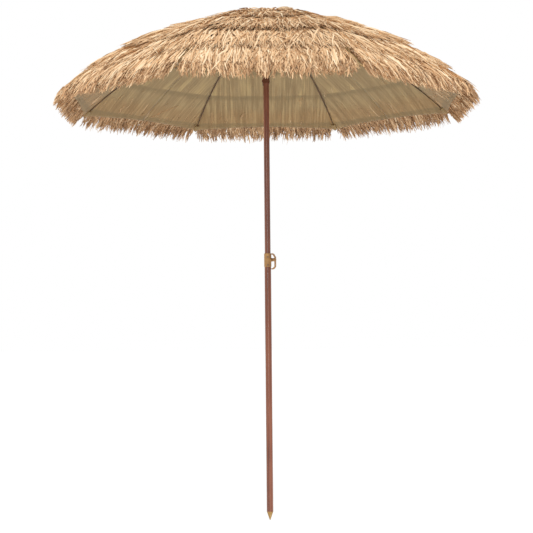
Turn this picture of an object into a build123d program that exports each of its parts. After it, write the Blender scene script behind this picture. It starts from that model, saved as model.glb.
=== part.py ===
from build123d import *
from math import asin, atan2, cos, degrees, hypot, pi, radians, sin
import os

# A thatched beach umbrella: a two-piece steel pole with a ground spike and a clamp collar, and
# a folding frame of ribs and stretchers that carries a cloth canopy covered in raffia skirts.
# Millimetres. The origin is the tip of the ground spike and +Z runs up the pole.
# A rib is modelled lying along +X, in the XZ plane, and turned round the pole to its place.

# ---- Driving dimensions -------------------------------------------------------------------
# canopy frame
RIB_COUNT = 8
CANOPY_REACH = 900.0  # rib tip from the pole's axis
CANOPY_DROP = 365.0  # rib tip below the crown pivots
CROWN_SLOPE = 7.0  # degrees below level at which a rib leaves the crown
CROWN_PIVOT_Z = 2165.0  # height of the rib pivots
RIB_ROD_D = 4.0
STRETCHER_ROD_D = 4.0
BRACKET_ALONG = 400.0  # crown pivot to stretcher bracket, along the rib
CLOSED_ANGLE = 77.0  # degrees below level of the crown-to-bracket line, folded

# pole
UPPER_TUBE_OD = 25.0
UPPER_TUBE_WALL = 0.8
UPPER_TUBE_BOTTOM_Z = 850.0
LOWER_TUBE_WALL = 1.0
LOWER_TUBE_TOP_Z = 1136.0
NECK_STEP = 0.2  # radial, where the lower tube is rolled down under its collar
SPIKE_CONE_LENGTH = 36.0
SPIKE_POINT_R = 1.6
SPIKE_SPIGOT_LENGTH = 30.0
FOOT_BUSH_HEIGHT = 10.0
FOOT_BUSH_SPIGOT = 22.0

# collar and clamp
COLLAR_WALL = 1.5  # beyond the lower tube
COLLAR_BOTTOM_Z = 1085.0
COLLAR_LIP = 8.0  # height of the guide lip above the lower tube
COLLAR_EDGE = 1.2  # chamfer on both ends
CLAMP_AZIMUTH = -20.0  # degrees round the pole from +X
CLAMP_HEIGHT = 31.0  # screw axis above the collar's lower end
BOSS_WALL = 2.5
BOSS_STANDOUT = 5.0  # boss face beyond the collar
SCREW_D = 8.0
INSERT_WALL = 1.5
INSERT_LENGTH = 5.5
PAD_THICKNESS = 2.0
SCREW_SHOWING = 3.0  # bare screw between boss and handle, clamped
HANDLE_HUB_WALL = 3.0
HANDLE_HUB_LENGTH = 13.5
HANDLE_BAR_WIDTH = 5.5  # bow bar across its curve
HANDLE_BAR_DEPTH = 9.0  # bow bar along the screw's other side
HANDLE_UP = 25.0  # bow's upper end above the screw
HANDLE_DOWN = 39.0  # bow's lower end below the screw
HANDLE_BEND = 9.0
HANDLE_CLEARANCE = 2.0  # bow's ends off the collar
RIVET_AZIMUTH = -90.0
RIVET_SHANK_D = 3.2
RIVET_HEAD_D = 6.0
RIVET_HEAD_HEIGHT = 1.4
RIVET_HEIGHTS = (8.0, 43.0)  # above the collar's lower end

# crown hub and runner
SLEEVE_WALL = 2.8
FLANGE_HEIGHT = 16.0
FLANGE_RIM = 4.0  # flange beyond the pivot wire
SLOT_CLEARANCE = 0.7  # each side of a rod
RING_WIRE_D = 2.0
EYE_R = 4.0
OUTER_EYE_R = 3.6
EYE_THICKNESS = 3.0
EYE_BLADE = 15.0  # flattened length of a stretcher's outer end
CROWN_NECK = 22.0
CROWN_TOP = 4.0
RUNNER_NECK = 74.0
RUNNER_TAB_OUT = 3.2
RUNNER_TAB_WIDTH = 12.0
RUNNER_TAB_HEIGHT = 10.0
CAP_R = 34.0
CAP_HEIGHT = 6.0
TUFT_R = 58.0
TUFT_FOOT = 10.0
TUFT_DOME = 24.0

# runner catch, a leaf spring in the upper tube
CATCH_WIDTH = 5.0
CATCH_NOSE = 3.3  # beyond the tube's skin
CATCH_NOSE_HEIGHT = 14.0
CATCH_LEAF = 0.8
CATCH_LEAF_LENGTH = 90.0
CATCH_GAP = 0.5  # under the runner

# stretcher bracket and rib tip
BRACKET_LENGTH = 14.0
BRACKET_CHEEK = 1.2
BRACKET_SKIN = 0.9  # bracket's wrap round the rib
PIN_D = 2.4
TIP_CAP_WALL = 1.4
TIP_CAP_LENGTH = 24.0
TIP_CAP_BEYOND = 5.0

# cloth and thatch
CLOTH_THICKNESS = 0.9
CLOTH_START = 12.0  # along the rib
SECTOR_GAP = 0.5  # between neighbouring panels at mid-gore
SKIRT_THICKNESS = 1.1
# thatch skirts: start and end along the rib, and the lift off the rib at each
SKIRTS = (
    (16.0, 262.0, 8.0, 36.0),
    (225.0, 445.0, 9.0, 37.0),
    (405.0, 645.0, 9.0, 38.0),
    (605.0, 845.0, 9.0, 38.0),
)
LOWER_SKIRT_START = 800.0
LOWER_SKIRT_LIFT = 20.0
FRINGE_ABOVE_TIP = 40.0  # hem fringe's seam, along the rib from its tip
FRINGE_LENGTH = 86.0  # beyond the rib tip
FRINGE_ANGLE = 46.0  # degrees below level

# clearances
TELESCOPE_CLEARANCE = 0.5  # radial, upper tube in lower tube
BUSH_CLEARANCE = 0.15  # radial, foot bush in lower tube
CLOTH_CLEARANCE = 0.4  # cloth above the tip cap
BRACKET_CLEARANCE = 0.45  # stretcher's eye under the bracket's wrap
SLIDING_CLEARANCE = 0.3  # radial, sleeve on tube
FIT_CLEARANCE = 0.05  # radial, pieces fixed together
WIRE_CLEARANCE = 0.3  # radial, eye on its wire or pin
SCREW_CLEARANCE = 0.1

# ---- Derived dimensions -------------------------------------------------------------------
UPPER_R = UPPER_TUBE_OD / 2
UPPER_BORE_R = UPPER_R - UPPER_TUBE_WALL
LOWER_BORE_R = UPPER_R + TELESCOPE_CLEARANCE
LOWER_R = LOWER_BORE_R + LOWER_TUBE_WALL
NECK_R = LOWER_R - NECK_STEP
NECK_Z = COLLAR_BOTTOM_Z - 1.0
COLLAR_R = LOWER_R + COLLAR_WALL
COLLAR_TOP_Z = LOWER_TUBE_TOP_Z + COLLAR_LIP
CLAMP_Z = COLLAR_BOTTOM_Z + CLAMP_HEIGHT
BOSS_FACE = COLLAR_R + BOSS_STANDOUT
SCREW_R = SCREW_D / 2
INSERT_R = SCREW_R + INSERT_WALL

SLEEVE_R = UPPER_R + SLEEVE_WALL
PIVOT_R = SLEEVE_R + EYE_R + 0.7  # pivot wire, with the eye clear of the sleeve
FLANGE_R = PIVOT_R + FLANGE_RIM
SLOT_FLOOR_R = SLEEVE_R + 0.1
SLOT_WIDTH = max(RIB_ROD_D, STRETCHER_ROD_D, EYE_THICKNESS) + 2 * SLOT_CLEARANCE

ROD_R = RIB_ROD_D / 2
WRAP_R = ROD_R + FIT_CLEARANCE + BRACKET_SKIN
BRACKET_DROP = WRAP_R + BRACKET_CLEARANCE + OUTER_EYE_R  # pivot pin below the rib's centre line
TIP_CAP_R = ROD_R + TIP_CAP_WALL
CLOTH_LIFT = TIP_CAP_R + CLOTH_CLEARANCE  # cloth's inner face above the rib's centre line
CHORD_ANGLE = atan2(CANOPY_DROP, CANOPY_REACH - PIVOT_R)
START_SLOPE = radians(CROWN_SLOPE)
ARC_R = hypot(CANOPY_DROP, CANOPY_REACH - PIVOT_R) / (2 * sin(CHORD_ANGLE - START_SLOPE))
RIB_LENGTH = ARC_R * 2 * (CHORD_ANGLE - START_SLOPE)


def rib_point(along, lift=0.0):
    """The point this far along a rib from its crown pivot, lifted off its centre line."""
    slope = START_SLOPE + along / ARC_R
    return Vector(
        PIVOT_R + ARC_R * (sin(slope) - sin(START_SLOPE)) + lift * sin(slope),
        0,
        CROWN_PIVOT_Z - ARC_R * (cos(START_SLOPE) - cos(slope)) + lift * cos(slope),
    )


def rib_slope(along):
    """Degrees below level of the rib at this length."""
    return degrees(START_SLOPE + along / ARC_R)


# The stretcher is as long as the crown-to-bracket line, so both close like an isosceles
# triangle and the runner stays on the pole's axis at every angle of the fold.
BRACKET = rib_point(BRACKET_ALONG, -BRACKET_DROP)
STRETCHER_LENGTH = hypot(BRACKET.X - PIVOT_R, CROWN_PIVOT_Z - BRACKET.Z)
OPEN_ANGLE = degrees(asin((CROWN_PIVOT_Z - BRACKET.Z) / STRETCHER_LENGTH))
RUNNER_PIVOT_Z = CROWN_PIVOT_Z - 2 * STRETCHER_LENGTH * sin(radians(OPEN_ANGLE))
RUNNER_BOTTOM_Z = RUNNER_PIVOT_Z - FLANGE_HEIGHT / 2 - RUNNER_NECK
UPPER_TUBE_TOP_Z = CROWN_PIVOT_Z + FLANGE_HEIGHT / 2
CAP_Z = UPPER_TUBE_TOP_Z + CROWN_TOP


# ---- Shared shapes ------------------------------------------------------------------------
def tube(outer_r, inner_r, bottom, top):
    """A round tube on the pole's axis."""
    ring = Circle(outer_r) - Circle(inner_r)
    return extrude(Pos(0, 0, bottom) * ring, top - bottom)


def post(radius, bottom, top):
    """A solid round post on the pole's axis."""
    return extrude(Pos(0, 0, bottom) * Circle(radius), top - bottom)


def cross_pin(radius, length, at):
    """A round pin across the rib's plane, centred on a point."""
    return Pos(at.X, 0, at.Z) * Rot(90, 0, 0) * Cylinder(radius, length)


def radial_pin(radius, start, end, height, azimuth):
    """A round pin that points away from the pole's axis."""
    along = Plane(origin=(0, 0, height), z_dir=(cos(radians(azimuth)), sin(radians(azimuth)), 0))
    return along * Pos(0, 0, (start + end) / 2) * Cylinder(radius, end - start)


def swept_rod(path, diameter):
    """A round rod along a path."""
    section = Plane(origin=path @ 0, z_dir=path % 0) * Circle(diameter / 2)
    return sweep(section, path=path)


def rib_arc(start, end, lift=0.0):
    """The stretch of the rib's curve between two lengths, lifted off its centre line."""
    return ThreePointArc(
        rib_point(start, lift), rib_point((start + end) / 2, lift), rib_point(end, lift)
    )


def slotted_flange(pivot_z, bore_r):
    """A flange with one slot for each rod eye and a groove for the wire they turn on."""
    half = FLANGE_HEIGHT / 2
    flange = tube(FLANGE_R, bore_r, pivot_z - half, pivot_z + half)
    slot_depth = FLANGE_R - SLOT_FLOOR_R + 1
    slot = Pos(SLOT_FLOOR_R + slot_depth / 2, 0, pivot_z) * Box(
        slot_depth, SLOT_WIDTH, FLANGE_HEIGHT + 2
    )
    for number in range(RIB_COUNT):
        flange -= Rot(0, 0, azimuth(number)) * slot
    return flange - Pos(0, 0, pivot_z) * Torus(PIVOT_R, RING_WIRE_D / 2 + FIT_CLEARANCE)


def azimuth(number):
    """Degrees round the pole from +X of a rib, counted from 0."""
    return 360 / RIB_COUNT * (number + 0.5)


# ---- Lower pole ---------------------------------------------------------------------------
def lower_tube():
    body = tube(LOWER_R, LOWER_BORE_R, SPIKE_CONE_LENGTH, NECK_Z)
    body += tube(NECK_R, LOWER_BORE_R, NECK_Z, LOWER_TUBE_TOP_Z)
    body -= radial_pin(SCREW_R + WIRE_CLEARANCE, 0, LOWER_R + 1, CLAMP_Z, CLAMP_AZIMUTH)
    return body - rivet_shanks(FIT_CLEARANCE)


def ground_spike():
    """A moulded cone that closes the tube's foot, with a spigot pressed into the tube."""
    cone = Pos(0, 0, SPIKE_CONE_LENGTH / 2) * Cone(SPIKE_POINT_R, LOWER_R, SPIKE_CONE_LENGTH)
    spigot_r = LOWER_BORE_R - FIT_CLEARANCE
    return cone + post(spigot_r, SPIKE_CONE_LENGTH, SPIKE_CONE_LENGTH + SPIKE_SPIGOT_LENGTH)


def rivet_shanks(extra=0.0):
    shanks = None
    for height in RIVET_HEIGHTS:
        shank = radial_pin(
            RIVET_SHANK_D / 2 + extra,
            LOWER_BORE_R + 0.1 - extra,
            COLLAR_R + extra,
            COLLAR_BOTTOM_Z + height,
            RIVET_AZIMUTH,
        )
        shanks = shank if shanks is None else shanks + shank
    return shanks


def pole_collar():
    """The moulded collar: it wraps the lower tube, guides the upper one and holds the clamp."""
    collar = post(COLLAR_R, COLLAR_BOTTOM_Z, COLLAR_TOP_Z)
    ends = collar.edges().filter_by(GeomType.CIRCLE)
    collar = chamfer(ends, COLLAR_EDGE)
    collar += radial_pin(INSERT_R + BOSS_WALL, 0, BOSS_FACE, CLAMP_Z, CLAMP_AZIMUTH)
    collar -= post(NECK_R + FIT_CLEARANCE, COLLAR_BOTTOM_Z - 1, LOWER_TUBE_TOP_Z)
    collar -= post(UPPER_R + SLIDING_CLEARANCE, LOWER_TUBE_TOP_Z - 1, COLLAR_TOP_Z + 1)
    collar -= radial_pin(SCREW_R + WIRE_CLEARANCE, 0, BOSS_FACE + 1, CLAMP_Z, CLAMP_AZIMUTH)
    pocket = BOSS_FACE - INSERT_LENGTH
    collar -= radial_pin(INSERT_R, pocket, BOSS_FACE + 1, CLAMP_Z, CLAMP_AZIMUTH)
    return collar - rivet_shanks(FIT_CLEARANCE)


def clamp_insert():
    """The threaded brass bush in the collar's boss."""
    start = BOSS_FACE - INSERT_LENGTH
    bush = radial_pin(INSERT_R - FIT_CLEARANCE, start, BOSS_FACE, CLAMP_Z, CLAMP_AZIMUTH)
    return bush - radial_pin(
        SCREW_R + SCREW_CLEARANCE, start - 1, BOSS_FACE + 1, CLAMP_Z, CLAMP_AZIMUTH
    )


def collar_rivets():
    rivets = rivet_shanks()
    for height in RIVET_HEIGHTS:
        head_z = COLLAR_BOTTOM_Z + height
        head = radial_pin(
            RIVET_HEAD_D / 2, COLLAR_R, COLLAR_R + RIVET_HEAD_HEIGHT, head_z, RIVET_AZIMUTH
        )
        rim = head.edges().filter_by(GeomType.CIRCLE).sort_by(Axis.Y)[0]
        rivets += fillet(rim, RIVET_HEAD_HEIGHT * 0.6)
    return rivets


# ---- Clamp --------------------------------------------------------------------------------
PAD_FACE = UPPER_R + SCREW_CLEARANCE
SCREW_START = PAD_FACE + PAD_THICKNESS + SCREW_CLEARANCE
HUB_START = BOSS_FACE + SCREW_SHOWING
HUB_END = HUB_START + HANDLE_HUB_LENGTH
SCREW_END = HUB_END - 4.0


def clamp_pad():
    """The pad that the screw presses on the upper tube."""
    return radial_pin(SCREW_R - FIT_CLEARANCE, PAD_FACE, PAD_FACE + PAD_THICKNESS, CLAMP_Z, CLAMP_AZIMUTH)


def clamp_screw():
    return radial_pin(SCREW_R, SCREW_START, SCREW_END, CLAMP_Z, CLAMP_AZIMUTH)


def clamp_handle():
    """A moulded bow with a hub, gripped with two fingers to turn the screw."""
    inner = COLLAR_R + HANDLE_CLEARANCE
    outer = HUB_END - HANDLE_BAR_WIDTH / 2
    bow = FilletPolyline(
        (inner, HANDLE_UP),
        (outer - HANDLE_BEND, HANDLE_UP),
        (outer, HANDLE_UP - 1.6 * HANDLE_BEND),
        (outer, -HANDLE_DOWN + HANDLE_BEND),
        (outer - HANDLE_BEND, -HANDLE_DOWN),
        (inner, -HANDLE_DOWN),
        radius=HANDLE_BEND * 0.6,
    )
    bar = extrude(trace(bow, HANDLE_BAR_WIDTH), HANDLE_BAR_DEPTH / 2, both=True)
    upright = Rot(0, 0, CLAMP_AZIMUTH) * Pos(0, 0, CLAMP_Z) * Rot(90, 0, 0)
    handle = upright * bar
    handle += radial_pin(SCREW_R + HANDLE_HUB_WALL, HUB_START, HUB_END, CLAMP_Z, CLAMP_AZIMUTH)
    return handle - radial_pin(SCREW_R, HUB_START - 1, SCREW_END, CLAMP_Z, CLAMP_AZIMUTH)


# ---- Upper pole and crown -----------------------------------------------------------------
CATCH_TOP_Z = RUNNER_BOTTOM_Z - CATCH_GAP


def upper_tube():
    body = tube(UPPER_R, UPPER_BORE_R, UPPER_TUBE_BOTTOM_Z, UPPER_TUBE_TOP_Z)
    window_height = CATCH_NOSE_HEIGHT + 4
    window = Pos(-UPPER_R, 0, CATCH_TOP_Z - CATCH_NOSE_HEIGHT / 2) * Box(
        UPPER_R, CATCH_WIDTH + 1, window_height
    )
    return body - window


def tube_foot_bush():
    """A plug in the upper tube's foot that keeps it central in the lower tube."""
    bottom = UPPER_TUBE_BOTTOM_Z - FOOT_BUSH_HEIGHT
    bush = post(LOWER_BORE_R - BUSH_CLEARANCE, bottom, UPPER_TUBE_BOTTOM_Z)
    spigot_r = UPPER_BORE_R - FIT_CLEARANCE
    return bush + post(spigot_r, UPPER_TUBE_BOTTOM_Z, UPPER_TUBE_BOTTOM_Z + FOOT_BUSH_SPIGOT)


def crown_hub():
    """The notched crown that caps the upper tube; every rib's eye sits in its own slot."""
    bore_r = UPPER_R + FIT_CLEARANCE
    flange_top = CROWN_PIVOT_Z + FLANGE_HEIGHT / 2
    neck_bottom = CROWN_PIVOT_Z - FLANGE_HEIGHT / 2 - CROWN_NECK
    hub = slotted_flange(CROWN_PIVOT_Z, bore_r) + tube(SLEEVE_R, bore_r, neck_bottom, flange_top)
    return hub + post(SLEEVE_R, flange_top, CAP_Z)


def ring_wire(pivot_z):
    return Pos(0, 0, pivot_z) * Torus(PIVOT_R, RING_WIRE_D / 2)


def crown_cap():
    """A moulded disc that clamps the middle of the cloth on the crown."""
    cap = post(CAP_R, CAP_Z, CAP_Z + CAP_HEIGHT)
    rims = cap.edges().filter_by(GeomType.CIRCLE)
    return fillet(rims, CAP_HEIGHT * 0.4)


def crown_tuft():
    """The gathered knot of raffia over the cap: a low dome on an undercut foot."""
    bottom = CAP_Z + CAP_HEIGHT
    brim = bottom + TUFT_FOOT
    dome_r = (TUFT_R**2 + TUFT_DOME**2) / (2 * TUFT_DOME)
    ball = Pos(0, 0, brim + TUFT_DOME - dome_r) * Sphere(dome_r)
    foot = Pos(0, 0, (bottom + brim) / 2) * Cone(TUFT_R * 0.85, TUFT_R, TUFT_FOOT)
    return foot + (ball & post(TUFT_R, brim, brim + TUFT_DOME + 1))


# ---- Runner and its catch -----------------------------------------------------------------
def runner():
    """The sliding sleeve that carries the stretchers' inner ends."""
    bore_r = UPPER_R + SLIDING_CLEARANCE
    top = RUNNER_PIVOT_Z + FLANGE_HEIGHT / 2
    body = slotted_flange(RUNNER_PIVOT_Z, bore_r) + tube(SLEEVE_R, bore_r, RUNNER_BOTTOM_Z, top)
    tab_z = RUNNER_BOTTOM_Z + RUNNER_TAB_HEIGHT / 2 + 6
    reach = SLEEVE_R + RUNNER_TAB_OUT
    tab = Pos(-reach / 2, 0, tab_z) * Box(reach, RUNNER_TAB_WIDTH, RUNNER_TAB_HEIGHT)
    lip = tube(SLEEVE_R + 1.0, bore_r, RUNNER_BOTTOM_Z, RUNNER_BOTTOM_Z + 3)
    return body + (tab - post(bore_r, tab_z - 20, tab_z + 20)) + lip


def runner_catch():
    """A leaf spring inside the upper tube; its nose holds the runner up until pressed in."""
    nose_z = CATCH_TOP_Z - CATCH_NOSE_HEIGHT / 2
    inner = UPPER_BORE_R - 1.2
    reach = UPPER_R + CATCH_NOSE
    nose = Polyline(
        (-inner, CATCH_TOP_Z),
        (-reach, CATCH_TOP_Z),
        (-reach, nose_z),
        (-inner, CATCH_TOP_Z - CATCH_NOSE_HEIGHT),
        close=True,
    )
    body = extrude(Plane.XZ * make_face(nose), CATCH_WIDTH / 2, both=True)
    leaf_z = CATCH_TOP_Z - CATCH_LEAF_LENGTH / 2
    leaf = Pos(-inner + CATCH_LEAF / 2, 0, leaf_z) * Box(CATCH_LEAF, CATCH_WIDTH, CATCH_LEAF_LENGTH)
    return body + leaf


# ---- Ribs and stretchers ------------------------------------------------------------------
EYE_HOLE_R = RING_WIRE_D / 2 + WIRE_CLEARANCE
ROD_START = EYE_R * 0.75


def rib():
    """A steel rod bent to one long arc, flattened to an eye at the crown."""
    pivot = rib_point(0)
    eye = cross_pin(EYE_R, EYE_THICKNESS, pivot)
    rod = swept_rod(rib_arc(ROD_START, RIB_LENGTH), RIB_ROD_D)
    return eye + rod - cross_pin(EYE_HOLE_R, SLOT_WIDTH, pivot)


def on_rib(along, shape):
    """Turn a shape made along +X at the origin to lie along the rib at this length."""
    at = rib_point(along)
    return Pos(at.X, 0, at.Z) * Rot(0, rib_slope(along), 0) * shape


def rib_bracket():
    """A pressed bracket: a wrap round the rib and two cheeks that hold the pivot pin."""
    wrap = Rot(0, 90, 0) * Cylinder(WRAP_R, BRACKET_LENGTH)
    gap = EYE_THICKNESS + 0.6
    depth = BRACKET_DROP + EYE_R
    cheek = Pos(0, (gap + BRACKET_CHEEK) / 2, -depth / 2) * Box(EYE_R * 2.2, BRACKET_CHEEK, depth)
    body = wrap + cheek + mirror(cheek, Plane.XZ)
    body -= Rot(0, 90, 0) * Cylinder(ROD_R + FIT_CLEARANCE, BRACKET_LENGTH + 2)
    pin_at = Vector(0, 0, -BRACKET_DROP)
    pin_length = gap + 2 * BRACKET_CHEEK
    return on_rib(BRACKET_ALONG, body + cross_pin(PIN_D / 2, pin_length, pin_at))


def tip_cap():
    """The moulded cap on the rib's outer end, sewn into the cloth's corner."""
    length = TIP_CAP_LENGTH
    middle = TIP_CAP_BEYOND - length / 2
    shell = Pos(middle, 0, 0) * Rot(0, 90, 0) * Cylinder(TIP_CAP_R, length)
    outer_rim = shell.edges().filter_by(GeomType.CIRCLE).sort_by(Axis.X)[-1]
    shell = fillet(outer_rim, TIP_CAP_R * 0.6)
    socket = swept_rod(rib_arc(RIB_LENGTH - length - 4, RIB_LENGTH), RIB_ROD_D + 2 * FIT_CLEARANCE)
    return on_rib(RIB_LENGTH, shell) - socket


def stretcher():
    """A straight rod from the runner's wire to the rib's bracket, with an eye at each end."""
    length = STRETCHER_LENGTH
    inner_eye = cross_pin(EYE_R, EYE_THICKNESS, Vector(0, 0, 0))
    outer_eye = cross_pin(OUTER_EYE_R, EYE_THICKNESS, Vector(length, 0, 0))
    blade = Pos(length - EYE_BLADE / 2, 0, 0) * Box(EYE_BLADE, EYE_THICKNESS, STRETCHER_ROD_D)
    rod_length = length - EYE_BLADE - ROD_START + 2
    rod = Pos(ROD_START + rod_length / 2, 0, 0) * Rot(0, 90, 0) * Cylinder(
        STRETCHER_ROD_D / 2, rod_length
    )
    body = inner_eye + rod + blade + outer_eye
    body -= cross_pin(EYE_HOLE_R, SLOT_WIDTH, Vector(0, 0, 0))
    body -= cross_pin(PIN_D / 2 + WIRE_CLEARANCE / 2, SLOT_WIDTH, Vector(length, 0, 0))
    return Pos(PIVOT_R, 0, RUNNER_PIVOT_Z) * Rot(0, -OPEN_ANGLE, 0) * body


# ---- Cloth and thatch ---------------------------------------------------------------------
def sector(outline):
    """Run an outline in the rib's plane sideways to both mid-gore planes, as cloth stretched
    between ribs lies: level lines from rib to rib, with a ridge over each rib."""
    half = pi / RIB_COUNT
    span = CANOPY_REACH
    side = extrude(outline, amount=span, dir=(-sin(half), cos(half), 0))
    beyond = Rot(0, 0, degrees(half)) * Pos(0, (2 * span - SECTOR_GAP) / 2, CROWN_PIVOT_Z) * Box(
        4 * span, 2 * span, 2 * span
    )
    side -= beyond
    return side + mirror(side, Plane.XZ)


def canopy_panel():
    """The two half gores of cloth that one rib carries."""
    top = CLOTH_LIFT + CLOTH_THICKNESS
    end = RIB_LENGTH
    inner = rib_arc(CLOTH_START, end, CLOTH_LIFT)
    outer = rib_arc(CLOTH_START, end, top)
    edges = [
        inner,
        outer,
        Line(rib_point(CLOTH_START, CLOTH_LIFT), rib_point(CLOTH_START, top)),
        Line(rib_point(end, CLOTH_LIFT), rib_point(end, top)),
    ]
    return sector(make_face(edges))


def skirt(start, end, start_lift, end_lift):
    """One thin skirt of raffia, sewn down at its upper edge and flaring off the cloth."""
    middle = (start + end) / 2
    middle_lift = start_lift + 0.65 * (end_lift - start_lift)
    lower = [(start, start_lift), (middle, middle_lift), (end, end_lift)]
    points = [rib_point(along, lift) for along, lift in lower]
    raised = [rib_point(along, lift + SKIRT_THICKNESS) for along, lift in lower]
    edges = [
        ThreePointArc(*points),
        ThreePointArc(*raised),
        Line(points[0], raised[0]),
        Line(points[2], raised[2]),
    ]
    return sector(make_face(edges))


def fringe():
    """The hem fringe: strips sewn above the hem that hang past it at a slant."""
    seam = rib_point(RIB_LENGTH - FRINGE_ABOVE_TIP, CLOTH_LIFT + CLOTH_THICKNESS + 2)
    brow = rib_point(RIB_LENGTH, CLOTH_LIFT + CLOTH_THICKNESS + 6)
    slant = radians(FRINGE_ANGLE)
    end = brow + Vector(FRINGE_LENGTH * cos(slant), 0, -FRINGE_LENGTH * sin(slant))
    lift = Vector(sin(slant), 0, cos(slant)) * SKIRT_THICKNESS
    outline = Polyline(seam, brow, end, end + lift, brow + lift, seam + lift, close=True)
    return sector(make_face(outline))


def thatch():
    skirts = [skirt(*sizes) for sizes in SKIRTS]
    skirts.append(skirt(LOWER_SKIRT_START, RIB_LENGTH + 8, 9.0, LOWER_SKIRT_LIFT))
    skirts.append(fringe())
    return Compound([solid for piece in skirts for solid in piece.solids()])


# ---- Write the parts ----------------------------------------------------------------------
def export(name, shape):
    export_step(shape, f"parts/{name}.step")


os.makedirs("parts", exist_ok=True)
export("lower_tube", lower_tube())
export("ground_spike", ground_spike())
export("pole_collar", pole_collar())
export("clamp_insert", clamp_insert())
export("collar_rivets", collar_rivets())
export("clamp_pad", clamp_pad())
export("clamp_screw", clamp_screw())
export("clamp_handle", clamp_handle())
export("upper_tube", upper_tube())
export("tube_foot_bush", tube_foot_bush())
export("crown_hub", crown_hub())
export("crown_wire", ring_wire(CROWN_PIVOT_Z))
export("crown_cap", crown_cap())
export("crown_tuft", crown_tuft())
export("runner", runner())
export("runner_wire", ring_wire(RUNNER_PIVOT_Z))
export("runner_catch", runner_catch())

rib_pieces = {
    "rib": rib(),
    "rib_fittings": Compound([*rib_bracket().solids(), *tip_cap().solids()]),
    "stretcher": stretcher(),
    "canopy_panel": canopy_panel(),
    "thatch": thatch(),
}
for number in range(RIB_COUNT):
    for name, shape in rib_pieces.items():
        export(f"{name}_{number + 1}", Rot(0, 0, azimuth(number)) * shape)

print("stretcher length", round(STRETCHER_LENGTH, 3), "open angle", round(OPEN_ANGLE, 4))
print("runner pivot z", round(RUNNER_PIVOT_Z, 3), "bottom z", round(RUNNER_BOTTOM_Z, 3))
print("bracket", round(BRACKET.X, 3), round(BRACKET.Z, 3), "pivot radius", round(PIVOT_R, 3))
print("rib length", round(RIB_LENGTH, 2), "arc radius", round(ARC_R, 2))
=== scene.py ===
import math

import bpy
import numpy as np
from mathutils import Matrix, Vector


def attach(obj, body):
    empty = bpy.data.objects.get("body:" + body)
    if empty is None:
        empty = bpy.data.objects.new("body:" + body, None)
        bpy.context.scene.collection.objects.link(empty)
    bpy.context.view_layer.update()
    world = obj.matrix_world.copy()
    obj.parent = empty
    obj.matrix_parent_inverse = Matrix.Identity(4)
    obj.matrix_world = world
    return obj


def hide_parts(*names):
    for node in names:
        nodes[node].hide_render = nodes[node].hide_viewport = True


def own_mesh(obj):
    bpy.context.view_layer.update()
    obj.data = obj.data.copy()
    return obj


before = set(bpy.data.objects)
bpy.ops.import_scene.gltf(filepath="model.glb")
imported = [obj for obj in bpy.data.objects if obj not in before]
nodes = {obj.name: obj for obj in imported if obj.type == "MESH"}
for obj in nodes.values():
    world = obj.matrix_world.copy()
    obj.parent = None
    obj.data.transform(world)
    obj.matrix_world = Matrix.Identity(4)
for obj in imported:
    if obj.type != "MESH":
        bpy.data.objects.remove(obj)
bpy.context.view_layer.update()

# ---------------------------------------------------------------- where it is looked at from
# A long lens at the height of a table top, tipped up a little, so that the far half of the
# canopy shows its underside and the near half shows its thatch.
CAMERA_PLACE = Vector((-0.046, -6.112, 0.800))
CAMERA_YAW = 0.0066
CAMERA_TILT = 0.0470
CAMERA_ROLL = -0.0092
CAMERA_LENS = 95.6
CAMERA_SENSOR = 36.0

looking = Vector((math.sin(CAMERA_YAW) * math.cos(CAMERA_TILT),
                  math.cos(CAMERA_YAW) * math.cos(CAMERA_TILT),
                  math.sin(CAMERA_TILT)))
eye = bpy.data.cameras.new("studio_camera")
eye.lens = CAMERA_LENS
eye.sensor_width = CAMERA_SENSOR
camera = bpy.data.objects.new("studio_camera", eye)
bpy.context.scene.collection.objects.link(camera)
camera.matrix_world = (Matrix.Translation(CAMERA_PLACE)
                       @ looking.to_track_quat("-Z", "Y").to_matrix().to_4x4()
                       @ Matrix.Rotation(CAMERA_ROLL, 4, "Z"))
bpy.context.scene.camera = camera

# ---------------------------------------------------------------- lower pole
# The lower half of the pole is thin steel tube, sprayed terracotta brown. The paint lies in faint
# streaks down its length and has a slight orange peel.
POLE_PAINT = (126, 67, 42)
POLE_PAINT_DEEP = (86, 42, 25)
POLE_PAINT_LIGHT = (150, 92, 63)
POLE_DUST = (176, 146, 128)


def paint(colour):
    """A colour given as 0 to 255 on a chart, as the light it stands for."""
    return tuple((c / 255 / 12.92) if c < 10.4 else ((c / 255 + 0.055) / 1.055) ** 2.4
                 for c in colour) + (1.0,)


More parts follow.
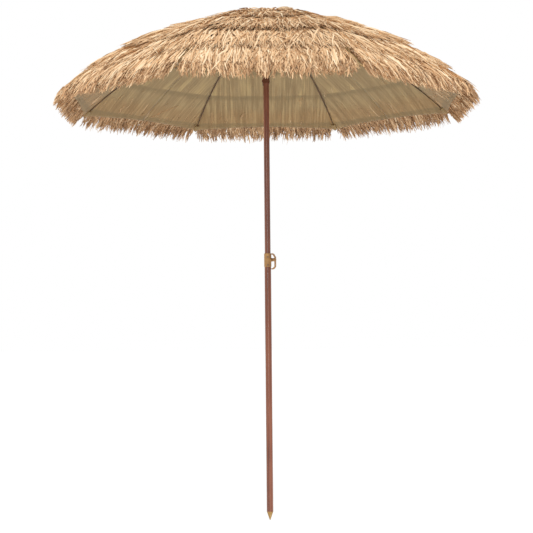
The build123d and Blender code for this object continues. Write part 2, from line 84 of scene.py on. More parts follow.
class Wire:
    """An output in a material's tree. Sums of wires add the Math nodes that they stand for."""

    def __init__(self, tree, socket=None):
        self.tree = tree
        self.socket = socket

    def node(self, kind, settings=None, feeds=None, output=0):
        """Adds a node: its settings first, then a value or a wire for each of its sockets."""
        made = self.tree.nodes.new(kind)
        for name, value in (settings or {}).items():
            if name == "stops":
                ramp = made.color_ramp
                while len(ramp.elements) < len(value):
                    ramp.elements.new(0.5)
                for stop, (position, colour) in zip(ramp.elements, value):
                    stop.position = position
                    stop.color = colour
            else:
                setattr(made, name, value)
        for name, value in (feeds or {}).items():
            self.put(value, made.inputs[name])
        return Wire(self.tree, made.outputs[output])

    def put(self, value, socket):
        if isinstance(value, Wire):
            self.tree.links.new(value.socket, socket)
        else:
            socket.default_value = value

    def maths(self, operation, first, second=0.0):
        return self.node("ShaderNodeMath", {"operation": operation}, {0: first, 1: second})

    def __add__(self, other):
        return self.maths("ADD", self, other)

    def __sub__(self, other):
        return self.maths("SUBTRACT", self, other)

    def __rsub__(self, other):
        return self.maths("SUBTRACT", other, self)

    def __mul__(self, other):
        return self.maths("MULTIPLY", self, other)

    __radd__ = __add__
    __rmul__ = __mul__

    def step(self, low, high):
        """0 below low and 1 above high, with an even rise between them."""
        return self.node("ShaderNodeMapRange", {"clamp": True},
                         {"Value": self, "From Min": low, "From Max": high})

    def between(self, low, high):
        """The colour low where this is 0 and high where it is 1."""
        return self.node("ShaderNodeMix", {"data_type": "RGBA"}, {0: self, 6: low, 7: high}, 2)

    def stretched(self, by):
        """This place, with each of its axes multiplied."""
        return self.node("ShaderNodeVectorMath", {"operation": "MULTIPLY"}, {0: self, 1: by})

    def noise(self, scale, detail=3.0, rough=0.5):
        return self.node("ShaderNodeTexNoise", {},
                         {"Vector": self, "Scale": scale, "Detail": detail, "Roughness": rough})

    def ramp(self, *stops):
        return self.node("ShaderNodeValToRGB", {"stops": stops}, {0: self})

    def bump(self, strength, distance):
        """The normal of a surface raised by this wire's value."""
        return self.node("ShaderNodeBump", {},
                         {"Strength": strength, "Distance": distance, "Height": self})


def new_finish(name):
    """A new material, a wire that its nodes are made from, and its main shader's sockets."""
    finish = bpy.data.materials.new(name)
    finish.use_nodes = True
    tree = finish.node_tree
    return finish, Wire(tree), tree.nodes["Principled BSDF"].inputs


def object_place(wire):
    return wire.node("ShaderNodeTexCoord", output="Object")


def dress(finish, *names):
    """Gives CAD nodes their finish."""
    for name in names:
        slots = nodes[name].data.materials
        if not slots:
            slots.append(finish)
        for index in range(len(slots)):
            slots[index] = finish


def painted_tube(name, plain, deep, light, dust_from, dust_to):
    """Sprayed steel tube. Sand dust starts at dust_from and is fullest at dust_to."""
    finish, wire, shader = new_finish(name)
    place = object_place(wire)
    bands = place.stretched((150.0, 150.0, 2.2)).noise(1.0, 4.0, 0.6)
    clouds = place.stretched((9.0, 9.0, 5.0)).noise(1.0, 2.0)
    height = wire.node("ShaderNodeSeparateXYZ", feeds={0: place}, output=2)
    coat = (bands * 0.75 + clouds * 0.25).ramp((0.36, deep), (0.5, plain), (0.66, light))
    specks = place.noise(520.0, 2.0).step(0.6, 0.72)
    dusty = height.step(dust_from, dust_to) * specks * 0.7
    rubs = place.stretched((60.0, 60.0, 420.0)).noise(1.0, 2.0).step(0.66, 0.74) * 0.35
    wire.put(dusty.between(rubs.between(coat, paint(POLE_PAINT_LIGHT)), paint(POLE_DUST)),
             shader["Base Color"])
    wire.put(bands * 0.12 + dusty * 0.3 + 0.3, shader["Roughness"])
    peel = place.noise(650.0, 2.0) * 0.5 + bands * 0.5
    wire.put(peel.bump(0.12, 0.0004), shader["Normal"])
    shader["Coat Weight"].default_value = 0.3
    shader["Coat Roughness"].default_value = 0.16
    return finish


lower_paint = painted_tube("pole_paint", paint(POLE_PAINT), paint(POLE_PAINT_DEEP),
                           paint(POLE_PAINT_LIGHT), 0.30, 0.02)
dress(lower_paint, "lower_tube")

# ---------------------------------------------------------------- ground spike
# A moulded plug of tough sand-coloured plastic closes the tube's foot. Its cone is scuffed down
# its length by the sand it has been pushed into.
SPIKE_PLASTIC = (166, 126, 64)
SPIKE_SCUFF = (196, 164, 108)
SPIKE_GRIME = (104, 76, 40)

spike_finish, wire, shader = new_finish("spike_plastic")
place = object_place(wire)
scores = place.stretched((400.0, 400.0, 30.0)).noise(1.0, 3.0)
sand = place.noise(240.0, 4.0, 0.7)
worn = scores.step(0.5, 0.7)
grimed = sand.step(0.52, 0.75) * 0.7
wire.put(grimed.between(worn.between(paint(SPIKE_PLASTIC), paint(SPIKE_SCUFF)),
                        paint(SPIKE_GRIME)), shader["Base Color"])
wire.put(worn * 0.25 + 0.42, shader["Roughness"])
wire.put((scores * 0.6 + sand * 0.4).bump(0.35, 0.0006), shader["Normal"])
dress(spike_finish, "ground_spike")

# ---------------------------------------------------------------- clamp collar
# A moulded collar of brass-coloured nylon is riveted over the top of the lower tube. It guides
# the upper tube and carries the boss of the clamp screw.
COLLAR_PLASTIC = (196, 150, 92)
COLLAR_SHADE = (150, 106, 60)
RIVET_STEEL = (122, 108, 96)
RIVET_SHADE = (84, 72, 62)


def moulded(name, plain, shade, roughness, grain=900.0):
    """Moulded plastic: fine spark grain, a slow change of tone, and rubbed patches."""
    finish, wire, shader = new_finish(name)
    place = object_place(wire)
    tone = place.noise(38.0, 3.0)
    grained = place.noise(grain, 2.0)
    rubbed = place.noise(130.0, 4.0, 0.65).step(0.55, 0.7)
    wire.put((tone * 0.8 + grained * 0.2).step(0.3, 0.7).between(shade, plain),
             shader["Base Color"])
    wire.put(grained * 0.14 + (1 - rubbed) * 0.08 + roughness, shader["Roughness"])
    wire.put((grained * 0.7 + tone * 0.3).bump(0.22, 0.0003), shader["Normal"])
    return finish


def plain_metal(name, plain, shade, roughness, turned):
    """Bare or plated metal with fine tool marks stretched along one axis."""
    finish, wire, shader = new_finish(name)
    place = object_place(wire)
    marks = place.stretched(turned).noise(1.0, 4.0, 0.6)
    stain = place.noise(160.0, 4.0, 0.6)
    wire.put((marks * 0.5 + stain * 0.5).step(0.38, 0.62).between(shade, plain),
             shader["Base Color"])
    wire.put(stain * 0.25 + roughness, shader["Roughness"])
    wire.put(marks.bump(0.15, 0.0002), shader["Normal"])
    shader["Metallic"].default_value = 0.9
    return finish


dress(moulded("collar_plastic", paint(COLLAR_PLASTIC), paint(COLLAR_SHADE), 0.36),
      "pole_collar")
dress(plain_metal("rivet_steel", paint(RIVET_STEEL), paint(RIVET_SHADE), 0.3,
                  (700.0, 700.0, 700.0)), "collar_rivets")

# ---------------------------------------------------------------- clamp
# A steel screw runs in a brass bush moulded into the collar's boss. Turning its bow handle
# presses a nylon pad against the upper tube.
HANDLE_PLASTIC = (190, 142, 88)
HANDLE_SHADE = (138, 96, 54)
BRASS = (184, 142, 78)
BRASS_SHADE = (128, 92, 46)
SCREW_STEEL = (112, 92, 78)
SCREW_SHADE = (66, 52, 44)
PAD_NYLON = (214, 204, 184)
PAD_SHADE = (170, 156, 132)

dress(moulded("handle_plastic", paint(HANDLE_PLASTIC), paint(HANDLE_SHADE), 0.4),
      "clamp_handle")
dress(plain_metal("bush_brass", paint(BRASS), paint(BRASS_SHADE), 0.28,
                  (300.0, 300.0, 900.0)), "clamp_insert")
dress(plain_metal("screw_steel", paint(SCREW_STEEL), paint(SCREW_SHADE), 0.34,
                  (900.0, 200.0, 900.0)), "clamp_screw")
dress(moulded("pad_nylon", paint(PAD_NYLON), paint(PAD_SHADE), 0.5), "clamp_pad")

# ---------------------------------------------------------------- upper pole and crown hub
# The upper tube has the same paint, a little paler and pinker. The slotted crown hub is dark
# brown nylon, with a ring of steel wire in it.
UPPER_PAINT = (124, 70, 50)
UPPER_PAINT_DEEP = (92, 50, 38)
UPPER_PAINT_LIGHT = (162, 110, 90)
BROWN_NYLON = (92, 54, 34)
BROWN_NYLON_DEEP = (60, 34, 22)
WIRE_STEEL = (150, 144, 136)
WIRE_STEEL_SHADE = (98, 92, 84)

NO_DUST = 0.1  # metres above the ground: under this tube's foot, so none shows on it

upper_paint = painted_tube("upper_pole_paint", paint(UPPER_PAINT), paint(UPPER_PAINT_DEEP),
                           paint(UPPER_PAINT_LIGHT), NO_DUST, NO_DUST - 0.4)
dress(upper_paint, "upper_tube")
brown_nylon = moulded("brown_nylon", paint(BROWN_NYLON), paint(BROWN_NYLON_DEEP), 0.34)
dress(brown_nylon, "crown_hub", "crown_cap", "tube_foot_bush")
wire_steel = plain_metal("ring_wire_steel", paint(WIRE_STEEL), paint(WIRE_STEEL_SHADE), 0.3,
                         (500.0, 500.0, 120.0))
dress(wire_steel, "crown_wire", "runner_wire")

# ---------------------------------------------------------------- runner and its catch
# The runner slides on the upper tube and holds the stretchers' inner ends in its slots. A sprung
# steel leaf in the tube catches it from below.
RUNNER_NYLON = (112, 62, 34)
RUNNER_NYLON_DEEP = (74, 38, 22)
SPRING_STEEL = (140, 130, 118)
SPRING_STEEL_SHADE = (88, 80, 70)

dress(moulded("runner_nylon", paint(RUNNER_NYLON), paint(RUNNER_NYLON_DEEP), 0.36), "runner")
dress(plain_metal("spring_steel", paint(SPRING_STEEL), paint(SPRING_STEEL_SHADE), 0.26,
                  (200.0, 200.0, 700.0)), "runner_catch")

# ---------------------------------------------------------------- ribs and stretchers
# Ribs and stretchers are round steel wire, dipped in dark brown enamel. The pressed bracket and
# the tip cap on each rib have the same dip.
FRAME_ENAMEL = (100, 68, 46)
FRAME_ENAMEL_DEEP = (66, 43, 29)
FRAME_ENAMEL_RUBBED = (132, 100, 72)
RIB_COUNT = 8
HALF_PITCH = math.pi / RIB_COUNT

enamel, wire, shader = new_finish("frame_enamel")
place = object_place(wire)
runs = place.stretched((60.0, 60.0, 60.0)).noise(1.0, 3.0)
pits = place.noise(700.0, 3.0)
rubbed = place.noise(90.0, 4.0, 0.7).step(0.62, 0.74) * 0.6
wire.put(rubbed.between(runs.step(0.35, 0.65).between(paint(FRAME_ENAMEL_DEEP),
                                                      paint(FRAME_ENAMEL)),
                        paint(FRAME_ENAMEL_RUBBED)), shader["Base Color"])
wire.put(pits * 0.2 + 0.3, shader["Roughness"])
wire.put((pits * 0.5 + runs * 0.5).bump(0.2, 0.0004), shader["Normal"])
for number in range(1, RIB_COUNT + 1):
    dress(enamel, f"rib_{number}", f"rib_fittings_{number}", f"stretcher_{number}")

# ---------------------------------------------------------------- canopy cloth
# Eight gores of thin polyester are sewn edge to edge over the ribs and hang in one curved sheet.
# Each rib carries the half gore on either side of it. The hem is turned up, and drawn in between
# the ribs. A pocket under each rib tip holds the cloth out.
CROWN_Z = 2.165  # the pivots of the ribs
PIVOT_R = 0.020
ARC_R = 1.77942  # each rib is bent to this radius
START_SLOPE = math.radians(7.0)  # below level, where a rib leaves the crown
RIB_LENGTH = 0.96446
CLOTH_FROM = 0.013  # along the rib
CLOTH_UNDER = 0.0041  # underside above the rib's centre line
CLOTH_THICK = 0.0006
HEM_DEPTH = 0.013
HEM_THICK = 0.0019
HEM_SCALLOP = 0.019  # how far the hem is drawn in at mid-gore
CLOTH_SAG = 0.009  # most that the cloth hangs under the level line between two ribs
SEWN_AT = 0.728  # where the lowest tier of thatch starts, along the rib
TIER_PITCH = 0.200  # from the start of one tier to the next
CLOTH_KHAKI = (212, 188, 142)
CLOTH_SHADED = (178, 154, 113)
CLOTH_WARM = (210, 180, 132)
CLOTH_WARM_SHADED = (176, 146, 103)
CLOTH_LIT = (232, 208, 152)
# painted shade colour, for the rows where tiers of thatch are sewn on
CLOTH_ROW_SHADE = (154, 138, 102)
CLOTH_GLOW = (228, 206, 160)  # daylight that comes through


def on_canopy(along, across, lift, azimuth):
    """Points on the canopy: along a rib, across it on the level line to the next, and above."""
    slope = START_SLOPE + along / ARC_R
    out = PIVOT_R + ARC_R * (np.sin(slope) - math.sin(START_SLOPE)) + lift * np.sin(slope)
    up = CROWN_Z - ARC_R * (math.cos(START_SLOPE) - np.cos(slope)) + lift * np.cos(slope)
    x = out - math.sin(HALF_PITCH) * np.abs(across)
    y = math.cos(HALF_PITCH) * across
    turn, lean = math.cos(azimuth), math.sin(azimuth)
    return np.stack([x * turn - y * lean, x * lean + y * turn, up + 0 * across], axis=-1)


def half_gore(along):
    """From the rib to mid-gore on the level line, at this distance along the rib."""
    slope = START_SLOPE + along / ARC_R
    out = PIVOT_R + ARC_R * (np.sin(slope) - math.sin(START_SLOPE))
    return out * math.sin(HALF_PITCH)


def hang(along, share):
    """How far the cloth hangs under the level line between two ribs; its hem is taut."""
    level = np.clip(along / RIB_LENGTH, 0, 1)
    return CLOTH_SAG * (1 - (1 - share) ** 2) * np.sin(math.pi * level ** 0.8)


def rib_azimuth(number):
    return (number - 0.5) * 2 * HALF_PITCH


def mesh_piece(name, points, faces, finish, smooth=None):
    """An object from arrays of points, of faces with the same number of corners, and of which
    faces are shaded smooth."""
    mesh = bpy.data.meshes.new(name)
    faces = np.asarray(faces, np.int32)
    mesh.vertices.add(len(points))
    mesh.vertices.foreach_set("co", np.asarray(points, np.float32).ravel())
    mesh.loops.add(faces.size)
    mesh.loops.foreach_set("vertex_index", faces.ravel())
    mesh.polygons.add(len(faces))
    mesh.polygons.foreach_set("loop_start", np.arange(len(faces), dtype=np.int32) * faces.shape[1])
    rounded = np.zeros(len(faces), bool) if smooth is None else smooth
    mesh.polygons.foreach_set("use_smooth", rounded)
    mesh.update(calc_edges=True)
    mesh.validate()
    mesh.materials.append(finish)
    piece = bpy.data.objects.new(name, mesh)
    bpy.context.scene.collection.objects.link(piece)
    return piece


def point_marks(piece, name, values):
    """Three numbers per point, which a material reads by this name."""
    layer = piece.data.attributes.new(name, "FLOAT_VECTOR", "POINT")
    layer.data.foreach_set("vector", np.asarray(values, np.float32).ravel())


def closed_sheet(top, under):
    """Points, faces and smooth faces of a thin closed sheet between two grids of points."""
    rows, columns = top.shape[:2]
    points = np.concatenate([top.reshape(-1, 3), under.reshape(-1, 3)])
    grid = np.arange(rows * columns).reshape(rows, columns)
    low = grid + rows * columns
    face = np.stack([grid[:-1, :-1], grid[1:, :-1], grid[1:, 1:], grid[:-1, 1:]], -1)
    back = np.stack([low[:-1, :-1], low[:-1, 1:], low[1:, 1:], low[1:, :-1]], -1)
    ring = np.concatenate([grid[0, :-1], grid[:-1, -1], grid[-1, :0:-1], grid[:0:-1, 0]])
    after = np.roll(ring, -1)
    rim = np.stack([ring, after, after + rows * columns, ring + rows * columns], -1)
    faces = np.concatenate([face.reshape(-1, 4), back.reshape(-1, 4), rim])
    return points, faces, np.arange(len(faces)) < len(faces) - len(rim)


cloth_finish, wire, shader = new_finish("canopy_cloth")
cloth = wire.node("ShaderNodeAttribute", {"attribute_name": "cloth"}, output=1)
reach = wire.node("ShaderNodeSeparateXYZ", feeds={0: cloth}, output=0)
# Painted shadow: radial streaks darken the cloth where the raffia strips above would shade it.
strip_shadow = cloth.stretched((7.0, 95.0, 1.0)).noise(1.0, 3.0, 0.6)
patches = cloth.stretched((2.5, 15.0, 1.0)).noise(1.0, 2.0)
light_and_shade_streaks = cloth.stretched((3.0, 210.0, 1.0)).noise(1.0, 2.0)
shaded = (strip_shadow * 0.55 + light_and_shade_streaks * 0.45).step(0.42, 0.6)
up_tier = wire.maths("FRACT", (reach - SEWN_AT) * (1 / TIER_PITCH) + 8)  # 0 where a tier starts
# Painted shade: darker bands along each row where a tier of thatch is sewn on.
row_shade = 1 - up_tier.step(0.04, 0.16) + up_tier.step(0.93, 0.97)
# Painted light: lighter patches where the thatch above is thin and daylight comes through.
light_through_mix = patches * 0.62 + strip_shadow * 0.2 + light_and_shade_streaks * 0.18
light_through_thin_thatch = light_through_mix.step(0.50, 0.60) * up_tier.step(0.15, 0.85) * (1 - up_tier.step(0.92, 0.95))
# Painted light: thin bright streaks between the strips, where daylight comes through.
light_slits = (strip_shadow * 0.5 + light_and_shade_streaks * 0.5).step(0.55, 0.66)
# Painted light: past the last tier's tips a single layer of thatch lies above, and the cloth is
# painted in warmer colours there.
past_last = reach.step(0.80, 0.86)
body = shaded.between(paint(CLOTH_SHADED), paint(CLOTH_KHAKI))
body = past_last.between(body, shaded.between(paint(CLOTH_WARM_SHADED), paint(CLOTH_WARM)))
body = (light_through_thin_thatch * (1 - past_last) * 0.85).between(body, paint(CLOTH_LIT))
body = (light_slits * 0.45).between(body, paint(CLOTH_LIT))
wire.put((row_shade * 0.5).between(body, paint(CLOTH_ROW_SHADE)), shader["Base Color"])
warp = cloth.stretched((2600.0, 420.0, 1.0)).noise(1.0, 1.0)
weft = cloth.stretched((420.0, 2600.0, 1.0)).noise(1.0, 1.0)
wire.put((warp + weft).bump(0.25, 0.0004), shader["Normal"])
wire.put(warp * 0.15 + 0.68, shader["Roughness"])
shader["Sheen Weight"].default_value = 0.2
shine_through = wire.node("ShaderNodeBsdfTranslucent", feeds={"Color": paint(CLOTH_GLOW)})
mixed = wire.node("ShaderNodeMixShader",
                  feeds={0: 0.5, 1: Wire(wire.tree, wire.tree.nodes["Principled BSDF"].outputs[0]),
                         2: shine_through})
wire.put(mixed, wire.tree.nodes["Material Output"].inputs["Surface"])

CLOTH_ROWS = 96
CLOTH_COLUMNS = 25
MID_GORE_LAP = 0.0003  # each half gore reaches this far past mid-gore
PUCKER = 0.004  # the creases beside a rib rise to 0.3 of this
FOLD_TURN = 0.0012  # length in which the cloth thickens into its hem
POCKET_LENGTH = 0.034
POCKET_HALF = 0.0125
POCKET_DEEP = 0.0095
POCKET_BEYOND = 0.006  # past the rib's tip
POCKET_TONE = 40.0  # far from every gore's own mark
GORE_TONE = 3.7  # between the marks of two gores

canopy_pieces = {}
for number in range(1, RIB_COUNT + 1):
    azimuth = rib_azimuth(number)
    sheets, marked = [], []
    for side in (-1, 1):
        share = np.linspace(min(side, 0), max(side, 0), CLOTH_COLUMNS)[None, :]
        arch = 1 - (1 - np.abs(share)) ** 2  # 0 at the rib, 1 and level at mid-gore
        end = RIB_LENGTH + 0.001 - HEM_SCALLOP * arch
        steps = np.linspace(0.0, 1.0, CLOTH_ROWS)[:, None]
        along = CLOTH_FROM + (end - CLOTH_FROM) * steps
        across = share * (half_gore(along) + MID_GORE_LAP)
        pull = (1 - share ** 2) ** 2 * np.abs(share) * PUCKER
        crease = pull * np.sin(along * 31 + share * 9 + number) * np.sin(along * 11 + number)
        lift = CLOTH_UNDER + CLOTH_THICK - hang(along, np.abs(share)) + crease
        turned = np.clip((along - end + HEM_DEPTH) / FOLD_TURN, 0, 1)
        thick = CLOTH_THICK + (HEM_THICK - CLOTH_THICK) * turned
        sheets.append(closed_sheet(on_canopy(along, across, lift, azimuth),
                                   on_canopy(along, across, lift - thick, azimuth)))
        from_middle = across - side * (half_gore(along) + MID_GORE_LAP)
        gore = number + (side - 1) / 2
        tone = np.full_like(along, gore % RIB_COUNT * GORE_TONE)
        marks = np.stack([along, from_middle, tone], -1)
        marked += [marks.reshape(-1, 3)] * 2

    # the pocket: a half round of the same cloth under the rib's tip, drawn in at its outer end
    round_turn = np.linspace(0.0, math.pi, 15)[None, :]
    pocket_along = np.linspace(RIB_LENGTH - POCKET_LENGTH, RIB_LENGTH + POCKET_BEYOND, 14)[:, None]
    closing = np.clip((RIB_LENGTH + 0.007 - pocket_along) / (2 * POCKET_BEYOND), 0, 1) ** 0.5
    wide = POCKET_HALF * np.cos(round_turn) * (0.55 + 0.45 * closing)
    deep = CLOTH_UNDER - POCKET_DEEP * np.sin(round_turn) * closing
    sheets.append(closed_sheet(
        on_canopy(pocket_along + 0 * wide, wide * 0.95, deep + CLOTH_THICK, azimuth),
        on_canopy(pocket_along + 0 * wide, wide, deep, azimuth)))
    marks = np.stack([pocket_along + 0 * wide, wide, 0 * wide + POCKET_TONE], -1).reshape(-1, 3)
    marked += [marks] * 2

    before = np.cumsum([0] + [len(sheet[0]) for sheet in sheets])
    panel = mesh_piece(f"canopy_cloth_{number}", np.concatenate([sheet[0] for sheet in sheets]),
                       np.concatenate([sheet[1] + n for sheet, n in zip(sheets, before)]),
                       cloth_finish, np.concatenate([sheet[2] for sheet in sheets]))
    point_marks(panel, "cloth", np.concatenate(marked))
    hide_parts(f"canopy_panel_{number}")
    canopy_pieces[number] = panel

# ---------------------------------------------------------------- thatch
# Split raffia is sewn to the cloth by its upper ends and lies in five overlapping tiers, and a
# short fringe hangs past the hem. Strips are crinkled, and cling together in tufts.
RAFFIA_LIGHT = (248, 226, 190)
RAFFIA_PLAIN = (230, 194, 150)
RAFFIA_DULL = (202, 160, 116)
RAFFIA_SHADED = (156, 118, 82)
# painted shade colour, at the sewn roots of the strips
RAFFIA_ROOT_SHADE = (112, 76, 48)
RAFFIA_GLOW = (232, 190, 130)  # daylight that comes through
STRIP_STEPS = 6
STRIP_THICK = 0.16  # of its width
STRIP_NARROWEST, STRIP_WIDEST = 0.0036, 0.0092
STRIP_LIES_AT = 0.0062  # lowest strips above the ribs' centre lines
# first root, last root, where the tips end, their spread, highest tip, strips, fanning, mess
TIERS = ((0.014, 0.120, 0.258, 0.010, 0.040, 300, 0.9, 0.6),
         (0.128, 0.310, 0.450, 0.015, 0.041, 520, 0.9, 1.0),
         (0.328, 0.510, 0.652, 0.017, 0.041, 760, 0.8, 1.1),
         (0.528, 0.710, 0.848, 0.017, 0.026, 980, 0.7, 1.0),
         (0.728, 0.880, 1.005, 0.012, 0.014, 1120, 0.45, 0.6))
FRINGE = (0.918, 0.936, 1.042, 0.005, 0.009, 640, 0.15, 0.35)
FRINGE_PAINTED_SHADE = 0.32  # painted shade: how much the fringe's tones are lowered
HEM_DROOP = 0.15  # how fast the strips fall away past the hem
UNDERCUT = 0.055  # how much sooner the lowest strips of a tier end
TUFT_SIZE = 6  # strips that cling together
RIB_NOTCH = 0.017  # the last tier and the fringe keep this far off a rib; soft_ridge leaves 0.010
NOTCH_FROM = 0.935  # along the rib; past here no strip strays into the notch
RIDGE_ROUND = 0.01  # the thatch bridges a rib with about this radius
MID_GORE_OVER = 0.015  # strips may stray this far past mid-gore; soft_ridge leaves about 0.005
FOLD_KEEP = 0.32  # of the thatch's width between ribs, folded
CLOTH_KEEP = FOLD_KEEP * 0.8

raffia, wire, shader = new_finish("raffia")
strip = wire.node("ShaderNodeAttribute", {"attribute_name": "strip"}, output=1)
tone = wire.node("ShaderNodeSeparateXYZ", feeds={0: strip}, output=0)
down = wire.node("ShaderNodeSeparateXYZ", feeds={0: strip}, output=1)
fibre = strip.stretched((900.0, 2.2, 13.0)).noise(1.0, 3.0, 0.6)
blotch = strip.stretched((130.0, 5.0, 2.0)).noise(1.0, 3.0)
shade = (tone * 0.62 + blotch * 0.26 + fibre * 0.24).ramp(
    (0.25, paint(RAFFIA_SHADED)), (0.42, paint(RAFFIA_DULL)), (0.56, paint(RAFFIA_PLAIN)),
    (0.84, paint(RAFFIA_LIGHT)))
# Painted shade: each strip darkens towards its sewn root, under the strips above it.
root_shade = (1 - down.step(0.0, 0.42)) * 0.75
wire.put(root_shade.between(shade, paint(RAFFIA_ROOT_SHADE)), shader["Base Color"])
wire.put(fibre * 0.25 + 0.5, shader["Roughness"])
wire.put((fibre * 0.7 + blotch * 0.3).bump(0.35, 0.0006), shader["Normal"])
glow = wire.node("ShaderNodeBsdfTranslucent", feeds={"Color": paint(RAFFIA_GLOW)})
mixed = wire.node("ShaderNodeMixShader",
                  feeds={0: 0.10, 1: Wire(wire.tree, wire.tree.nodes["Principled BSDF"].outputs[0]),
                         2: glow})
wire.put(mixed, wire.tree.nodes["Material Output"].inputs["Surface"])


def strips_mesh(line, width, thick, roll, tones):
    """Closed three-sided strips along lines of points: points, faces and their strip marks."""
    count, rings = line.shape[:2]
    heading = np.gradient(line, axis=1)
    heading /= np.linalg.norm(heading, axis=2, keepdims=True) + 1e-12
    level = np.cross(heading, np.array([0.0, 0.0, 1.0]))
    level /= np.linalg.norm(level, axis=2, keepdims=True) + 1e-12
    above = np.cross(level, heading)
    turn = roll[..., None]
    side = level * np.cos(turn) + above * np.sin(turn)
    ridge = above * np.cos(turn) - level * np.sin(turn)
    edge = side * width[..., None] / 2
    points = np.stack([line - edge, line + ridge * thick[..., None], line + edge], axis=2)
    corner = np.arange(count * rings * 3).reshape(count, rings, 3)
    walls = []
    for here, there in ((0, 1), (1, 2), (2, 0)):
        walls.append(np.stack([corner[:, :-1, here], corner[:, :-1, there],
                               corner[:, 1:, there], corner[:, 1:, here]], -1).reshape(-1, 4))
    quads = np.concatenate(walls)
    faces = np.concatenate([quads[:, [0, 1, 2]], quads[:, [0, 2, 3]],
                            corner[:, 0, [2, 1, 0]], corner[:, -1]])
    marks = np.empty((count, rings, 3, 3))
    marks[..., 0] = tones[:, None, None] + np.array([0.0, 0.0004, 0.0008])
    marks[..., 1] = np.linspace(0.0, 1.0, rings)[None, :, None]
    marks[..., 2] = np.arange(count)[:, None, None] * 0.37
    return points.reshape(-1, 3), faces, marks.reshape(-1, 3)


def soft_ridge(across):
    """Draws strips in towards the rib, so that they bridge its ridge in a round."""
    return np.sign(across) * (np.sqrt(across * across + RIDGE_ROUND ** 2) - RIDGE_ROUND)


def lay_tier(dice, first, last, end, spread, top, count, fanning, mess, azimuth, notch=0.0):
    """One tier of strips over one rib's half gores, as lines of points and their sizes."""
    t = np.linspace(0.0, 1.0, STRIP_STEPS + 1)[None, :]

    # where each strip is sewn, how far it reaches, and which tuft it clings to
    height = dice.random(count)  # 0 for the strips that lie lowest
    root = last + (first - last) * height ** 0.7 + dice.normal(0, 0.008, count)
    tip = end + dice.normal(0, spread, count) - UNDERCUT * (1 - height)
    side = np.where(dice.random(count) < 0.5, -1.0, 1.0)
    half = half_gore(root)
    across = side * (notch + (half + MID_GORE_OVER - notch) * dice.random(count))
    tuft = np.empty(count, int)
    tuft[np.argsort(across)] = np.arange(count) // TUFT_SIZE
    tufts = tuft.max() + 1
    centre = np.bincount(tuft, across, tufts) / np.bincount(tuft, minlength=tufts)

    # its path down the canopy: part fanned out from the rib and part beside it, leaning, pulled
    # in to its tuft, and crinkled
    lean = mess * (dice.normal(0, 0.15, tufts)[tuft] + dice.normal(0, 0.12, count))
    wild = dice.random(count) < 0.15 * mess ** 2
    lean = np.where(wild, lean + dice.normal(0, 0.45 * mess, count), lean)
    length = (tip - root)[:, None]
    ease = t ** 1.15
    down = root[:, None] + length * ease
    grown = half_gore(down) - half[:, None]
    fanned = (across / np.maximum(half, 1e-4))[:, None] * grown
    path = across[:, None] + fanning * fanned + (1 - fanning) * (side[:, None] * grown)
    path = path + np.tan(np.clip(lean, -0.9, 0.9))[:, None] * length * ease
    path = path + (centre[tuft] - across)[:, None] * 0.45 * t ** 2
    waves = dice.uniform(1.0, 2.6, count)[:, None]
    swing = dice.normal(0, 0.0042, count)[:, None] * np.sin(2 * math.pi * (
        waves * t + dice.random(count)[:, None]))
    swing = swing + dice.normal(0, 0.0026, (count, STRIP_STEPS + 1))
    path = path + swing * np.minimum(1, t * 3)
    limit = half_gore(down) + MID_GORE_OVER
    path = np.sign(path) * np.minimum(np.abs(path), 2 * limit - np.abs(path))
    bare = notch * np.clip((down - NOTCH_FROM) / 0.02, 0, 1)
    path = np.where(bare > 0, side[:, None] * np.maximum(side[:, None] * path, bare), path)

    # how high it lies: a tuft lifts as one, and past the hem strips droop
    low = STRIP_LIES_AT + 0.003 * height
    high = 0.008 + (top - 0.008) * height ** 0.6 + dice.normal(0, 0.0016, count)
    high = high + dice.normal(0, 0.0028, tufts)[tuft] + np.where(wild, 0.003, 0.0)
    lift = low[:, None] + (high - low)[:, None] * t ** 0.75
    bow = dice.normal(0.0035, 0.003, count)[:, None] * np.sin(math.pi * t)
    kink = dice.normal(0, 0.0024, (count, STRIP_STEPS + 1)) * np.minimum(1, t * 3)
    lift = np.maximum(lift + bow + kink, STRIP_LIES_AT)
    share = np.clip(np.abs(path) / np.maximum(half_gore(down), 0.01), 0, 1)
    hem = RIB_LENGTH - HEM_SCALLOP * (1 - (1 - share) ** 2)
    lift = lift - hang(down, share) - HEM_DROOP * np.maximum(down - hem, 0)
    line = on_canopy(down, soft_ridge(path), lift, azimuth)

    # its width, its twist and how light it is
    width = dice.uniform(STRIP_NARROWEST, STRIP_WIDEST, count)[:, None]
    width = width * (0.8 + 0.2 * np.sin(math.pi * t))
    width = width * (1 - 0.72 * t ** 7)
    roll = dice.normal(0, 0.5, count)[:, None] + dice.normal(0, 1.1, count)[:, None] * t
    # Painted shade: strips that lie lower in a tier are darker, higher ones lighter; the rest of
    # the tone differs at random.
    tones = np.clip(0.5 + 0.17 * dice.standard_normal(count)
                    + dice.normal(0, 0.13, tufts)[tuft] + 0.12 * (height - 0.5), 0.02, 0.98)
    return line, width, roll, tones


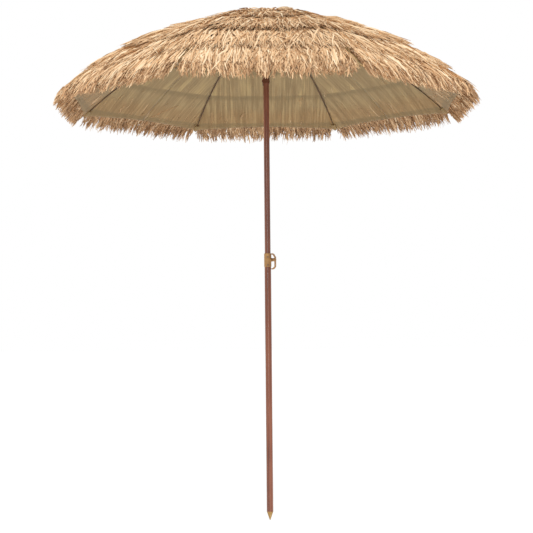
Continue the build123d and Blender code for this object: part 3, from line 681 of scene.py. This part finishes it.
FIRST_SEED = 4100
for number in range(1, RIB_COUNT + 1):
    dice = np.random.default_rng(FIRST_SEED + number)
    azimuth = rib_azimuth(number)
    laid = [lay_tier(dice, *tier, azimuth, RIB_NOTCH * (tier is TIERS[-1])) for tier in TIERS]
    line, width, roll, tones = lay_tier(dice, *FRINGE, azimuth, RIB_NOTCH)
    # Painted shade: the fringe's strips are made darker.
    laid.append((line, width, roll, np.clip(tones - FRINGE_PAINTED_SHADE, 0.02, 0.98)))
    line = np.concatenate([part[0] for part in laid])
    width = np.concatenate([part[1] for part in laid])
    roll = np.concatenate([part[2] for part in laid])
    tones = np.concatenate([part[3] for part in laid])
    points, faces, marks = strips_mesh(line, width, width * STRIP_THICK, roll, tones)
    thatch = mesh_piece(f"thatch_cover_{number}", points, faces, raffia)
    point_marks(thatch, "strip", marks)
    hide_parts(f"thatch_{number}")

    # cloth and thatch go on their rib's body, each with a mesh of its own
    panel = canopy_pieces[number]
    for piece, keep in ((panel, CLOTH_KEEP), (thatch, FOLD_KEEP)):
        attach(piece, f"rib_{number}")
        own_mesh(piece)

# ---------------------------------------------------------------- crown tuft
# A rosette of the same raffia is gathered over the crown cap, and hides the roots of the top
# tier.
TUFT_STRIPS = 620
TUFT_TOP = 2.196
TUFT_NEAR, TUFT_FAR = 0.055, 0.112  # shortest and longest reach of a strip's tip
TUFT_FALL = 0.044  # of the tips of the lowest strips
TUFT_SEED = 77
dice = np.random.default_rng(TUFT_SEED)
t = np.linspace(0.0, 1.0, STRIP_STEPS + 1)[None, :]
turned = dice.random(TUFT_STRIPS) * 2 * math.pi
rank = dice.random(TUFT_STRIPS)
reach_out = dice.uniform(TUFT_NEAR, TUFT_FAR, TUFT_STRIPS)
start = 0.002 + 0.010 * dice.random(TUFT_STRIPS)
radius = start[:, None] + (reach_out - start)[:, None] * t
angle = turned[:, None] + dice.normal(0, 0.28, TUFT_STRIPS)[:, None] * t
angle = angle + dice.normal(0, 0.05, TUFT_STRIPS)[:, None] * np.sin(2 * math.pi * t)
crest = (TUFT_TOP + 0.006 * rank)[:, None] + (0.009 * rank)[:, None] * np.sin(math.pi * t ** 0.7)
fall = TUFT_FALL * (1 - rank / 2)[:, None] * t ** 2.2
height = crest - fall + dice.normal(0, 0.0012, (TUFT_STRIPS, STRIP_STEPS + 1)) * t
line = np.stack([radius * np.cos(angle), radius * np.sin(angle), height], axis=-1)
width = dice.uniform(0.0034, 0.0062, TUFT_STRIPS)[:, None] * (1 - 0.7 * t ** 6)
roll = dice.normal(0, 0.5, TUFT_STRIPS)[:, None] + dice.normal(0, 0.8, TUFT_STRIPS)[:, None] * t
tones = np.clip(dice.normal(0.55, 0.2, TUFT_STRIPS), 0.02, 0.98)
points, faces, marks = strips_mesh(line, width, width * STRIP_THICK, roll, tones)
# the rosette's strips start a quarter of the way along, so their roots take less of the painted
# root shade
marks[:, 1] = 0.25 + 0.75 * marks[:, 1]
tuft = mesh_piece("crown_rosette", points, faces, raffia)
point_marks(tuft, "strip", marks)
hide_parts("crown_tuft")
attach(tuft, "upper_pole")

# ---------------------------------------------------------------- studio
# An even pale floor under a pale sky. One broad soft lamp shines from high in front on the
# right, and a tall soft box behind the camera draws a bright line down the pole.
FLOOR_HALF = 60.0
SKY_LIGHT = 0.58
LAMP_POWER = 2.4
BOX_POWER = 100.0
FLOOR_PAINT = (80, 80, 79)
FLOOR_SPECK = (86, 86, 85)
FLOOR_SHINE = 0.92  # the floor shines evenly, so that it is pale and takes almost no shadow
corners = np.array([[-1, -1, 0], [1, -1, 0], [1, 1, 0], [-1, 1, 0]], float) * FLOOR_HALF
floor_finish, wire, shader = new_finish("studio_floor")
speckle = object_place(wire).noise(3.0, 2.0)
wire.put(speckle.between(paint(FLOOR_PAINT), paint(FLOOR_SPECK)), shader["Base Color"])
shader["Roughness"].default_value = 0.9
shader["Emission Color"].default_value = (1.0, 1.0, 1.0, 1.0)
shader["Emission Strength"].default_value = FLOOR_SHINE
floor = mesh_piece("studio_floor", corners, [[0, 1, 2, 3]], floor_finish)

sky = bpy.data.worlds.new("studio_sky")
sky.use_nodes = True
wire = Wire(sky.node_tree)
seen = wire.node("ShaderNodeLightPath")
wire.put(seen.between((SKY_LIGHT,) * 3 + (1.0,), (1.0, 1.0, 1.0, 1.0)),
         sky.node_tree.nodes["Background"].inputs["Color"])
bpy.context.scene.world = sky
lamp = bpy.data.lights.new("soft_lamp", "SUN")
lamp.energy = LAMP_POWER
lamp.angle = 0.5  # a wide source, so that shadows have soft edges
box = bpy.data.lights.new("strip_box", "AREA")
box.shape = "RECTANGLE"
box.size, box.size_y = 0.8, 4.0
box.energy = BOX_POWER
for name, light, place, facing in (
        ("soft_lamp", lamp, (0, 0, 6), Vector((-0.4, 1.0, -1.5))),
        ("strip_box", box, (-0.9, -7.6, 1.9), Vector((0.9, 7.6, -0.9)))):
    stand = bpy.data.objects.new(name, light)
    bpy.context.scene.collection.objects.link(stand)
    stand.location = place
    stand.visible_camera = False
    stand.rotation_euler = facing.to_track_quat("-Z", "Y").to_euler()
bpy.context.scene.view_settings.view_transform = "Standard"
